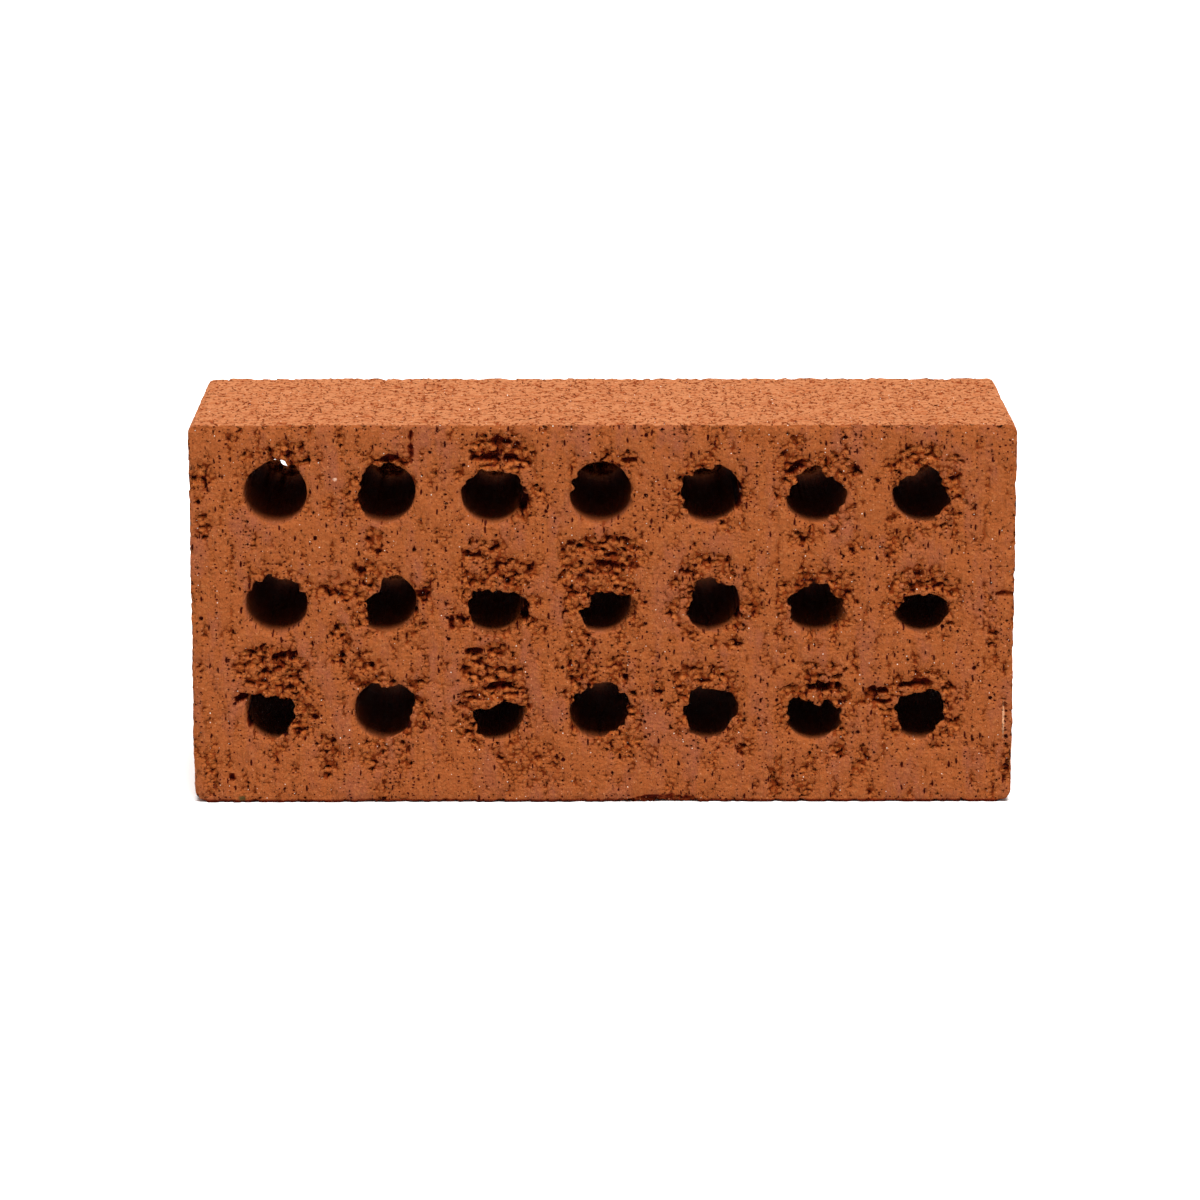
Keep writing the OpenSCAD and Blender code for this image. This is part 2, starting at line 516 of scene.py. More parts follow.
# sizes and depths in mm of what the clay's skin shows; the finish uses the same values
relief = dict(
    warp=0.64, warpSize=3.2, girth=(0.46, 0.62),
    lumpWide=2.3, lumpHigh=1.7, lumpJoint=0.85, lumpTilt=0.3, lostPower=5.5, lostDepth=1.5, ledge=0.35,
    lowerSize=0.9, lowerShift=7.5, layerDrop=0.5, layerBlend=0.2, lowerShade=0.26,
    fineWide=1.25, fineHigh=1.05, fineShift=3.0, fineJoint=0.7, fineShade=0.4,
    clumpWide=6.5, clumpHigh=4.0, clumpJoint=0.45, clumpDepth=0.9, clumpShade=0.3,
    poreWide=1.4, poreHigh=1.4, poreShare=0.48, poreRadius=0.3, poreDepth=0.6, poreShade=0.8, tornPores=0.15,
    voidWide=4.6, voidHigh=4.6, voidShare=0.16, voidRadius=0.6, voidDepth=1.1, voidShade=1.0,
    dragWide=2.2, dragHigh=6.5, dragShare=0.55, dragRadius=0.36, dragDepth=0.7, dragShade=0.85,
    rungWide=1.6, rungHigh=1.1, rungShare=0.75, rungRadius=0.44, rungDepth=0.6, rungShade=0.85,
    rungStreakWide=2.4, rungStreakLong=22.0,
    crackleLong=4.1, crackleShort=4.2, crackle=0.052, crackleShift=40.0, crackleDepth=0.7, crackleShade=0.48,
    endCrackle=0.5, diePores=0.4, tearUneven=3.7, borderSize=3.0,
    tearRagged=1.7, tearBorder=1.3, slotRagged=0.45, slotBorder=0.35,
    streakWide=2.8, streakLong=9.0, streakDepth=0.85, roughSize=5.5, roughDepth=0.6,
    swell=0.3, swellSize=12.0, chip=1.3, chipLeast=0.05, chipSize=3.4, arrisWide=2.4,
    voxel=0.5, triangles=196000,
)


# in mm: how deep the skin starts to fade and is gone, how wide the faces blend at their edges, and offsets
# that keep opposite faces from repeating each other
faces = dict(skinFade=3.0, skinGone=6.5, seam=0.4, corner=0.5, bedOffset=150.0, topOffset=170.0,
    endOffset=370.0)


def addFace(tree, place):
    # where a point lies: how far under each pair of faces, whose face it is on, and its place there in mm
    centred = addNode(tree, "VectorMath", {0: place, 1: middle}, "SUBTRACT")
    inMm = addNode(tree, "VectorMath", {0: centred, "Scale": 1 / mm}, "SCALE")
    split = addNode(tree, "SeparateXYZ", {0: inMm})
    gaps, signs = [], []
    for axis in range(3):
        size = addNode(tree, "Math", {0: split.outputs[axis]}, "ABSOLUTE")
        gaps.append(addNode(tree, "Math", {0: half[axis] / mm, 1: size}, "SUBTRACT"))
        signs.append(addNode(tree, "Math", {0: split.outputs[axis]}, "SIGN"))
    sideGap = addNode(tree, "Math", {0: gaps[0], 1: gaps[2]}, "MINIMUM")
    anyGap = addNode(tree, "Math", {0: sideGap, 1: gaps[1]}, "MINIMUM")
    skin = addNode(tree, "MapRange", {"Value": anyGap, "From Min": faces["skinFade"],
        "From Max": faces["skinGone"], "To Min": 1.0, "To Max": 0.0}, interpolation_type="SMOOTHSTEP")
    doubled = addNode(tree, "Math", {0: sideGap, 1: 2.0}, "MULTIPLY")
    lead = addNode(tree, "Math", {0: doubled, 1: gaps[1]}, "SUBTRACT")
    bed = addNode(tree, "MapRange", {"Value": lead, "From Min": -faces["seam"],
        "From Max": faces["seam"]})
    endLead = addNode(tree, "Math", {0: gaps[2], 1: gaps[0]}, "SUBTRACT")
    ends = addNode(tree, "MapRange", {"Value": endLead, "From Min": -faces["corner"],
        "From Max": faces["corner"]})
    acrossBed = addNode(tree, "Math", {0: signs[1], 1: faces["bedOffset"], 2: split.outputs[0]},
        "MULTIPLY_ADD")
    onBed = addNode(tree, "CombineXYZ", {0: acrossBed, 1: split.outputs[2]})
    alongTop = addNode(tree, "Math", {0: signs[2], 1: faces["topOffset"], 2: split.outputs[0]},
        "MULTIPLY_ADD")
    onTop = addNode(tree, "CombineXYZ", {0: alongTop, 1: split.outputs[1]})
    upEnd = addNode(tree, "Math", {0: signs[0], 1: faces["endOffset"], 2: split.outputs[2]},
        "MULTIPLY_ADD")
    onEnd = addNode(tree, "CombineXYZ", {0: upEnd, 1: split.outputs[1]})
    endStep = addNode(tree, "Math", {0: endLead, 1: 0.0}, "GREATER_THAN")
    onDie = addNode(tree, "Mix", {"Factor": endStep, 4: onTop, 5: onEnd}, data_type="VECTOR")
    bedStep = addNode(tree, "Math", {0: lead, 1: 0.0}, "GREATER_THAN")
    flat = addNode(tree, "Mix", {"Factor": bedStep, 4: onDie, 5: onBed}, data_type="VECTOR")
    return dict(inMm=inMm, gaps=gaps, signs=signs, skin=skin, bed=bed, bedStep=bedStep, ends=ends,
                sideGap=sideGap, anyGap=anyGap, flat=flat)


def addPores(tree, flat, wide, high, share, radius):
    # pores, at most one to a cell of wide by high mm: 1 inside and 0 outside
    sized = addNode(tree, "VectorMath", {0: flat, 1: (1 / wide, 1 / high, 1)}, "MULTIPLY")
    cells = addNode(tree, "TexVoronoi", {"Vector": sized, "Scale": 1.0}, voronoi_dimensions="2D")
    luck = addNode(tree, "SeparateXYZ", {0: cells.outputs["Color"]})
    size = addNode(tree, "MapRange", {"Value": luck, "From Min": 1 - share, "From Max": 1.0,
        "To Min": 0.0, "To Max": radius / wide}, clamp=False)
    inside = addNode(tree, "Math", {0: size, 1: cells.outputs["Distance"]}, "SUBTRACT")
    return addNode(tree, "MapRange", {"Value": inside, "From Min": 0.0, "From Max": 0.12 / wide},
        interpolation_type="SMOOTHSTEP")


def addPelletLayer(tree, flat, wide, high, shift):
    # rounded pellets about wide by high mm: how far a point lies under their tops (2 in the gaps), where
    # the gaps are, and a number for each pellet
    sized = addNode(tree, "VectorMath", {0: flat, 1: (1 / wide, 1 / high, 1), 2: (shift, shift, 0)},
        "MULTIPLY_ADD")
    lumps = addNode(tree, "TexVoronoi", {"Vector": sized, "Scale": 1.0, "Randomness": 0.9},
        voronoi_dimensions="2D")
    luck = addNode(tree, "SeparateXYZ", {0: lumps.outputs["Color"]})
    least, most = relief["girth"]
    girth = addNode(tree, "MapRange", {"Value": luck.outputs["Y"], "To Min": least, "To Max": most})
    out = addNode(tree, "Math", {0: lumps.outputs["Distance"], 1: girth}, "DIVIDE")
    hollow = addNode(tree, "Math", {0: out, 1: 2.0}, "POWER", use_clamp=True)
    gap = addNode(tree, "MapRange", {"Value": out, "From Min": 0.88, "From Max": 1.12},
        interpolation_type="SMOOTHSTEP")
    sunk = addNode(tree, "Math", {0: hollow, 1: gap}, "ADD")
    # each pellet leans out at its foot, as the wire left it
    offset = addNode(tree, "VectorMath", {0: sized, 1: lumps.outputs["Position"]}, "SUBTRACT")
    rise = addNode(tree, "SeparateXYZ", {0: offset})
    lean = addNode(tree, "Math", {0: rise.outputs["Y"], 1: relief["lumpTilt"] * high, 2: sunk},
        "MULTIPLY_ADD")
    return lean, gap, luck.outputs["X"]


def addCrumbling(tree, flat, torn):
    # two layers of coarse pellets in clumps where the clay is torn deep, fine ones where it is only grazed
    r = relief
    wide, high, less = r["lumpWide"], r["lumpHigh"], r["lowerSize"]
    upper, _, luck = addPelletLayer(tree, flat, wide, high, 0.0)
    lower, lowerGap, _ = addPelletLayer(tree, flat, wide * less, high * less, r["lowerShift"])
    fate = addNode(tree, "Math", {0: luck, 1: r["lostPower"]}, "POWER")
    lost = addNode(tree, "Math", {0: fate, 1: r["lostDepth"], 2: upper}, "MULTIPLY_ADD")
    under = addNode(tree, "Math", {0: lower, 1: r["layerDrop"]}, "ADD")
    either = addNode(tree, "Math", {0: lost, 1: under, 2: r["layerBlend"]}, "SMOOTH_MIN")
    opening = addNode(tree, "Math", {0: torn, 1: r["lumpJoint"]}, "MINIMUM")
    pelletDepth = addNode(tree, "Math", {0: either, 1: opening}, "MULTIPLY")
    # a pit that no pellet fills is in full shade, the lower layer only in part
    covered = addNode(tree, "MapRange", {"Value": lost, "From Min": 0.75, "From Max": 1.5})
    pit = addNode(tree, "Math", {0: covered, 1: lowerGap}, "MULTIPLY")
    partly = addNode(tree, "Math", {0: covered, 1: r["lowerShade"]}, "MULTIPLY")
    shade = addNode(tree, "Math", {0: pit, 1: partly}, "MAXIMUM")
    clumps = addNode(tree, "VectorMath", {0: flat, 1: (1 / r["clumpWide"], 1 / r["clumpHigh"], 1)},
        "MULTIPLY")
    clumpEdges = addNode(tree, "TexVoronoi", {"Vector": clumps, "Scale": 1.0}, voronoi_dimensions="2D",
        feature="DISTANCE_TO_EDGE")
    clumpGap = addNode(tree, "MapRange", {"Value": clumpEdges.outputs["Distance"], "From Min": 0.03,
        "From Max": r["clumpJoint"] / r["clumpHigh"], "To Min": 1.0, "To Max": 0.0},
        interpolation_type="SMOOTHSTEP")
    deepOnly = addNode(tree, "MapRange", {"Value": torn, "From Min": 0.8, "From Max": 1.8})
    gapDepth = addNode(tree, "Math", {0: clumpGap, 1: deepOnly}, "MULTIPLY")
    ledge = addNode(tree, "Math", {0: torn, 1: r["ledge"], 2: pelletDepth}, "MULTIPLY_ADD")
    clumpDepth = addNode(tree, "Math", {0: gapDepth, 1: r["clumpDepth"], 2: ledge}, "MULTIPLY_ADD")
    clumpDark = addNode(tree, "Math", {0: gapDepth, 1: r["clumpShade"], 2: shade}, "MULTIPLY_ADD")
    # the crowns of the pellets where the clay is torn, which the finish lightens as a painted highlight
    top = addNode(tree, "MapRange", {"Value": either, "From Min": 0.0, "From Max": 0.55, "To Min": 1.0,
        "To Max": 0.0})
    tornEnough = addNode(tree, "MapRange", {"Value": torn, "From Min": 0.5, "From Max": 1.0})
    crestHighlight = addNode(tree, "Math", {0: top, 1: tornEnough}, "MULTIPLY")
    fine, fineGap, _ = addPelletLayer(tree, flat, r["fineWide"], r["fineHigh"], r["fineShift"])
    graze = addNode(tree, "Math", {0: torn, 1: r["fineJoint"]}, "MULTIPLY")
    fineDepth = addNode(tree, "Math", {0: fine, 1: graze}, "MULTIPLY")
    parted = addNode(tree, "MapRange", {"Value": torn, "From Min": 0.25, "From Max": 0.8, "To Min": 0.0,
        "To Max": r["fineShade"]})
    fineDark = addNode(tree, "Math", {0: fineGap, 1: parted}, "MULTIPLY")
    coarse = addNode(tree, "MapRange", {"Value": torn, "From Min": 0.6, "From Max": 0.95})
    depth = addNode(tree, "Mix", {"Factor": coarse, 2: fineDepth, 3: clumpDepth}, data_type="FLOAT")
    dark = addNode(tree, "Mix", {"Factor": coarse, 2: fineDark, 3: clumpDark}, data_type="FLOAT")
    return depth, dark, crestHighlight


def addCrackle(tree, flat):
    # short curved cracks, two sets of them, where the column slid along the die
    r = relief
    sets = []
    for shift in (0.0, r["crackleShift"]):
        sized = addNode(tree, "VectorMath", {0: flat, 1: (1 / r["crackleLong"], 1 / r["crackleShort"], 1),
            2: (shift, shift, 0)}, "MULTIPLY_ADD")
        bends = addNode(tree, "TexNoise", {"Vector": sized, "Scale": 1.0, "Detail": 1.5},
            noise_dimensions="2D")
        apart = addNode(tree, "Math", {0: bends, 1: 0.5}, "SUBTRACT")
        off = addNode(tree, "Math", {0: apart}, "ABSOLUTE")
        line = addNode(tree, "MapRange", {"Value": off, "From Min": 0.01, "From Max": r["crackle"],
            "To Min": 1.0, "To Max": 0.0})
        breaks = addNode(tree, "TexNoise", {"Vector": sized, "Scale": 1.7, "Detail": 1.0},
            noise_dimensions="2D")
        broken = addNode(tree, "MapRange", {"Value": breaks, "From Min": 0.43, "From Max": 0.55})
        sets.append(addNode(tree, "Math", {0: line, 1: broken}, "MULTIPLY"))
    return addNode(tree, "Math", {0: sets[0], 1: sets[1]}, "MAXIMUM")


def addClaySkin(tree, face, torn):
    # the whole relief as a depth in mm, and how much of it is in shade
    r = relief
    flat = face["flat"]
    drift = addNode(tree, "TexNoise", {"Vector": flat, "Scale": 1 / r["warpSize"], "Detail": 1.0},
        noise_dimensions="2D")
    push = addNode(tree, "VectorMath", {0: drift.outputs["Color"], 1: (0.5, 0.5, 0.5)}, "SUBTRACT")
    warped = addNode(tree, "VectorMath", {0: push, 1: (r["warp"], r["warp"], 0), 2: flat}, "MULTIPLY_ADD")
    pelletDepth, pelletDark, crestHighlight = addCrumbling(tree, warped, torn)
    # drags: short upright scores; rungs: short tears one above the other, in upright streaks
    everyPore, voids, drags, everyRung = [
        addPores(tree, base, *(r[name + part] for part in ("Wide", "High", "Share", "Radius")))
        for name, base in (("pore", flat), ("void", warped), ("drag", warped), ("rung", flat))
    ]
    whole = addNode(tree, "MapRange", {"Value": torn, "From Min": 0.25, "From Max": 0.8, "To Min": 1.0,
        "To Max": r["tornPores"]})
    pores = addNode(tree, "Math", {0: everyPore, 1: whole}, "MULTIPLY")
    size = (1 / r["rungStreakWide"], 1 / r["rungStreakLong"], 1)
    streaks = addNode(tree, "VectorMath", {0: flat, 1: size}, "MULTIPLY")
    streakNoise = addNode(tree, "TexNoise", {"Vector": streaks, "Scale": 1.0, "Detail": 1.0},
        noise_dimensions="2D")
    inStreak = addNode(tree, "MapRange", {"Value": streakNoise, "From Min": 0.52, "From Max": 0.58})
    rungs = addNode(tree, "Math", {0: everyRung, 1: inStreak}, "MULTIPLY")
    cracks = addCrackle(tree, warped)
    slid = addNode(tree, "MapRange", {"Value": face["ends"], "To Min": 1.0, "To Max": r["endCrackle"]})
    crackle = addNode(tree, "Math", {0: cracks, 1: slid}, "MULTIPLY")
    bedDepth, bedDark = pelletDepth, pelletDark
    for name, hollows in (("rung", rungs), ("drag", drags), ("void", voids), ("pore", pores)):
        bedDepth = addNode(tree, "Math", {0: hollows, 1: r[name + "Depth"], 2: bedDepth}, "MULTIPLY_ADD")
        shaded = addNode(tree, "Math", {0: hollows, 1: r[name + "Shade"]}, "MULTIPLY")
        bedDark = addNode(tree, "Math", {0: bedDark, 1: shaded}, "MAXIMUM")
    dieFields = []
    for sunkTo, poreShare in ((r["crackleDepth"], r["diePores"] * r["poreDepth"]),
                              (r["crackleShade"], r["diePores"])):
        cracked = addNode(tree, "Math", {0: crackle, 1: sunkTo}, "MULTIPLY")
        dieFields.append(addNode(tree, "Math", {0: pores, 1: poreShare, 2: cracked}, "MULTIPLY_ADD"))
    fields = []
    for onBed, onDie in zip((bedDepth, bedDark, crestHighlight), dieFields + [0.0]):
        shown = addNode(tree, "Mix", {"Factor": face["bedStep"], 2: onDie, 3: onBed}, data_type="FLOAT")
        fields.append(addNode(tree, "Math", {0: shown, 1: face["skin"]}, "MULTIPLY"))
    return dict(depth=fields[0], dark=fields[1], crestHighlight=fields[2])


def addNearest(tree, place, patches):
    # how far a point is from the nearest disc, seen square on, and how deep that disc lies, in mm
    floors = addNode(tree, "GeometryNodeObjectInfo", {"Object": patches}).outputs["Geometry"]
    split = addNode(tree, "SeparateXYZ", {0: place})
    outward = addNode(tree, "Math", {0: split.outputs["Y"]}, "SIGN")
    level = addNode(tree, "Math", {0: outward, 1: half.y - mouth["seatDepth"] * mm}, "MULTIPLY")
    probe = addNode(tree, "CombineXYZ", {"X": split.outputs["X"], "Y": level, "Z": split.outputs["Z"]})
    near = addNode(tree, "GeometryNodeProximity", {0: floors, "Sample Position": probe},
        target_element="FACES")
    apart = addNode(tree, "VectorMath", {0: near.outputs["Position"], 1: probe}, "SUBTRACT")
    flat = addNode(tree, "VectorMath", {0: apart, 1: (1 / mm, 0, 1 / mm)}, "MULTIPLY")
    gap = addNode(tree, "VectorMath", {0: flat}, "LENGTH")
    nearSplit = addNode(tree, "SeparateXYZ", {0: near.outputs["Position"]})
    height = addNode(tree, "Math", {0: nearSplit.outputs["Y"]}, "ABSOLUTE")
    depth = addNode(tree, "Math", {0: height, 1: -1 / mm, 2: half.y / mm}, "MULTIPLY_ADD")
    return gap, depth


def addBorder(tree, flat, gap, ragged, border):
    # 1 within the zone and 0 outside, with a border that wanders
    coarse = addNode(tree, "TexNoise", {"Vector": flat, "Scale": 1 / relief["borderSize"], "Detail": 3.0,
        "Roughness": 0.65}, noise_dimensions="2D")
    wander = addNode(tree, "Math", {0: coarse, 1: -4 * ragged, 2: 2 * ragged}, "MULTIPLY_ADD")
    edge = addNode(tree, "Math", {0: gap, 1: wander}, "ADD")
    return addNode(tree, "MapRange", {"Value": edge, "From Min": 0.0, "From Max": border, "To Min": 1.0,
        "To Max": 0.0}, interpolation_type="SMOOTHSTEP")


def addTearing(tree, place, face, patches):
    # how deep the wire tore the bed faces: the zones, and fainter streaks and rough patches between them
    r = relief
    gap, depth = addNearest(tree, place, patches)
    inZone = addBorder(tree, face["flat"], gap, r["tearRagged"], r["tearBorder"])
    uneven = addNode(tree, "TexNoise", {"Vector": face["flat"], "Scale": 1 / r["tearUneven"],
        "Detail": 2.0}, noise_dimensions="2D")
    share = addNode(tree, "MapRange", {"Value": uneven, "From Min": 0.34, "From Max": 0.68, "To Min": 0.2,
        "To Max": 1.0})
    zoneDepth = addNode(tree, "Math", {0: inZone, 1: depth}, "MULTIPLY")
    zone = addNode(tree, "Math", {0: zoneDepth, 1: share}, "MULTIPLY")
    size = (1 / r["streakWide"], 1 / r["streakLong"], 1)
    upright = addNode(tree, "VectorMath", {0: face["flat"], 1: size}, "MULTIPLY")
    streak = addNode(tree, "TexNoise", {"Vector": upright, "Scale": 1.0, "Detail": 3.0},
        noise_dimensions="2D")
    streakDepth = addNode(tree, "MapRange", {"Value": streak, "From Min": 0.52, "From Max": 0.74,
        "To Min": 0.0, "To Max": r["streakDepth"]})
    rough = addNode(tree, "TexNoise", {"Vector": face["flat"], "Scale": 1 / r["roughSize"], "Detail": 4.0,
        "Roughness": 0.6}, noise_dimensions="2D")
    roughDepth = addNode(tree, "MapRange", {"Value": rough, "From Min": 0.55, "From Max": 0.78,
        "To Min": 0.0, "To Max": r["roughDepth"]})
    faint = addNode(tree, "Math", {0: streakDepth, 1: roughDepth}, "MAXIMUM")
    both = addNode(tree, "Math", {0: zone, 1: faint}, "MAXIMUM")
    onBed = addNode(tree, "Math", {0: both, 1: face["bed"]}, "MULTIPLY")
    return addNode(tree, "Math", {0: onBed, 1: face["skin"]}, "MULTIPLY")


def reliefTree(tears):
    # sinks the skin of every face along its own normal, and stores the tearing for the finish
    r = relief
    tree, geometryIn, geometryOut = geometryTree("relief")
    place = addNode(tree, "GeometryNodeInputPosition")
    face = addFace(tree, place)
    torn = addTearing(tree, place, face, tears)
    kept = addNode(tree, "GeometryNodeStoreNamedAttribute", {"Geometry": geometryIn, "Name": "torn",
        "Value": torn}, data_type="FLOAT", domain="POINT")
    skin = addClaySkin(tree, face, torn)
    swell = addNode(tree, "TexNoise", {"Vector": face["inMm"], "Scale": 1 / r["swellSize"],
        "Detail": 3.0})
    swellDepth = addNode(tree, "MapRange", {"Value": swell, "From Min": 0.4, "From Max": 0.75,
        "To Min": 0.0, "To Max": r["swell"]})
    chip = addNode(tree, "TexNoise", {"Vector": face["inMm"], "Scale": 1 / r["chipSize"], "Detail": 3.0})
    chipDepth = addNode(tree, "MapRange", {"Value": chip, "From Min": 0.5, "From Max": 0.75,
        "To Min": r["chipLeast"], "To Max": r["chip"]})
    arrisGap = addNode(tree, "Math", {0: face["gaps"][1], 1: face["sideGap"]}, "ADD")
    arris = addNode(tree, "MapRange", {"Value": arrisGap, "From Min": 0.0, "From Max": r["arrisWide"],
        "To Min": 1.0, "To Max": 0.0}, interpolation_type="SMOOTHSTEP")
    worn = addNode(tree, "Math", {0: chipDepth, 1: arris}, "MULTIPLY")
    swollen = addNode(tree, "Math", {0: swellDepth, 1: face["skin"], 2: skin["depth"]}, "MULTIPLY_ADD")
    side = addNode(tree, "Math", {0: 1.0, 1: face["bed"]}, "SUBTRACT")
    onEnd = addNode(tree, "Math", {0: side, 1: face["ends"]}, "MULTIPLY")
    onTop = addNode(tree, "Math", {0: side, 1: onEnd}, "SUBTRACT")
    moves = []
    for axis, share in enumerate((onEnd, face["bed"], onTop)):
        depth = addNode(tree, "Math", {0: swollen, 1: share, 2: worn}, "MULTIPLY_ADD")
        inward = addNode(tree, "Math", {0: face["signs"][axis], 1: -mm}, "MULTIPLY")
        moves.append(addNode(tree, "Math", {0: depth, 1: inward}, "MULTIPLY"))
    move = addNode(tree, "CombineXYZ", dict(enumerate(moves)))
    sunk = addNode(tree, "GeometryNodeSetPosition", {"Geometry": kept, "Offset": move})
    tree.links.new(sunk.outputs[0], geometryOut)
    return tree


def slotTree(slots):
    # sinks the face to the slots' floors, and stores painted shade that darkens the deeper slots
    tree, geometryIn, geometryOut = geometryTree("slots")
    place = addNode(tree, "GeometryNodeInputPosition")
    face = addFace(tree, place)
    gap, depth = addNearest(tree, place, slots)
    within = addBorder(tree, face["flat"], gap, relief["slotRagged"], relief["slotBorder"])
    proud = addNode(tree, "Math", {0: depth, 1: face["gaps"][1]}, "SUBTRACT")
    proudOnly = addNode(tree, "Math", {0: proud, 1: 0.0}, "MAXIMUM")
    fall = addNode(tree, "Math", {0: proudOnly, 1: within}, "MULTIPLY")
    inward = addNode(tree, "Math", {0: face["signs"][1], 1: -mm}, "MULTIPLY")
    shift = addNode(tree, "Math", {0: fall, 1: inward}, "MULTIPLY")
    move = addNode(tree, "CombineXYZ", {"Y": shift})
    # painted shade: the deeper a slot, the darker the clay there
    shade = addNode(tree, "MapRange", {"Value": fall, "From Min": 0.6, "From Max": 1.6})
    marked = addNode(tree, "GeometryNodeStoreNamedAttribute", {"Geometry": geometryIn, "Name": "slot",
        "Value": shade}, data_type="FLOAT", domain="POINT")
    sunk = addNode(tree, "GeometryNodeSetPosition", {"Geometry": marked, "Offset": move})
    tree.links.new(sunk.outputs[0], geometryOut)
    return tree


def boxTree():
    # keeps every point inside the brick's own box
    tree, geometryIn, geometryOut = geometryTree("box")
    place = addNode(tree, "GeometryNodeInputPosition")
    above = addNode(tree, "VectorMath", {0: place, 1: low}, "MAXIMUM")
    within = addNode(tree, "VectorMath", {0: above, 1: high}, "MINIMUM")
    kept = addNode(tree, "GeometryNodeSetPosition", {"Geometry": geometryIn, "Position": within})
    tree.links.new(kept.outputs[0], geometryOut)
    return tree


def buildBrick():
    brick = addBlock()
    cutCores(brick)
    report("block and cores")
    mouths, backReaches = addMouths()
    crumbs = addLipCrumbs(mouths)
    report("mouths")
    backTears, backSlots = backZones()
    frontLips = lipZones(lambda row, column: mouthReach[row][column], -1)
    backLips = lipZones(lambda row, column: backReaches[row, column], 1)
    tears = joined([addPatches(frontTears + frontLips, "frontTears", -1),
                    addPatches(backTears + backLips, "backTears", 1)], "tears")
    slots = joined([addPatches(frontSlots, "frontSlots", -1),
                    addPatches(backSlots, "backSlots", 1)], "slots")
    report("zones")
    brick = joined([brick, mouths, crumbs], "brickBody")
    applyModifier(brick, "REMESH", mode="VOXEL", voxel_size=relief["voxel"] * mm)
    report("skin")
    applyModifier(brick, "NODES", node_group=reliefTree(tears))
    applyModifier(brick, "NODES", node_group=slotTree(slots))
    box = boxTree()
    applyModifier(brick, "NODES", node_group=box)
    report("relief")
    removed(tears)
    removed(slots)
    dense = sum(len(polygon.vertices) - 2 for polygon in brick.data.polygons)
    applyModifier(brick, "DECIMATE", ratio=relief["triangles"] / dense)
    applyModifier(brick, "NODES", node_group=box)  # thinning pushes a few points out of it
    report(f"thinned from {dense} triangles")
    makeActive(brick)
    bpy.ops.object.shade_smooth()
    brick.name = "cored_brick"
    return brick


brick = buildBrick()

# tones in the order in which they lie over each other; sizes in mm
clay = dict(
    body="#894721", mauve="#80452f", torn="#8c461a", crestHighlight="#b0622f", skin="#a96a44", skinRed="#98542f",
    # deep is painted shade for the bores and deep slots
    pale="#a26237", deep="#713719", grains="#b67953", quartz="#eadfce",
    roughness=0.95, specular=0.08, bump=0.7, grain=0.9, shadeGamma=1.35, footShade=1.0,
    mauveWide=6.0, mauveHigh=15.0, mauveShare=0.7, tornShare=0.85, crestHighlightShare=0.55, skinToneSize=2.5,
    grogSize=0.8, grogShare=0.45, recessShadeFrom=2.4, recessShadeTo=7.5,
    grainCell=1.7, grainRadius=0.24, grainChance=0.4, grainShare=0.75,
    quartzCell=2.6, quartzRadius=0.2, quartzChance=0.22,
    combWide=0.9, combHigh=14.0, combShare=0.8, lumpSize=1.7, lumpShare=1.4,
)
# small marks on the front: middle x, middle z, width, height, colour
clayMarks = [
    (-101.5, 1.2, 2.6, 1.8, "#3b3a1c"), (112.3, 24.0, 0.7, 12, "#c99570"),
    (-74.4, 92.6, 1.4, 1.0, "#c79f88"),
]


def addMarks(tree, face, wander, colour):
    # a greenish kiln speck at the foot, a pale scratch and a pale fleck
    for x, z, width, height, tint in clayMarks:
        centre = (x, -half.y / mm, z - half.z / mm)
        offset = addNode(tree, "VectorMath", {0: face["inMm"], 1: centre}, "SUBTRACT")
        sized = addNode(tree, "VectorMath", {0: offset, 1: (2 / width, 0.1, 2 / height)}, "MULTIPLY")
        out = addNode(tree, "VectorMath", {0: sized}, "LENGTH")
        edge = addNode(tree, "Math", {0: out, 1: wander}, "ADD")
        share = addNode(tree, "MapRange", {"Value": edge, "From Min": 1.0, "From Max": 1.5,
            "To Min": 0.85, "To Max": 0.0})
        colour = addNode(tree, "Mix", {"Factor": share, 6: colour, 7: linear(tint)}, data_type="RGBA")
    return colour


def layered(tree, colour, layers):
    # lays tones over a colour one after another, each by its own share
    for share, tone in layers:
        colour = addNode(tree, "Mix", {"Factor": share, 6: colour, 7: linear(clay[tone])},
            data_type="RGBA")
    return colour


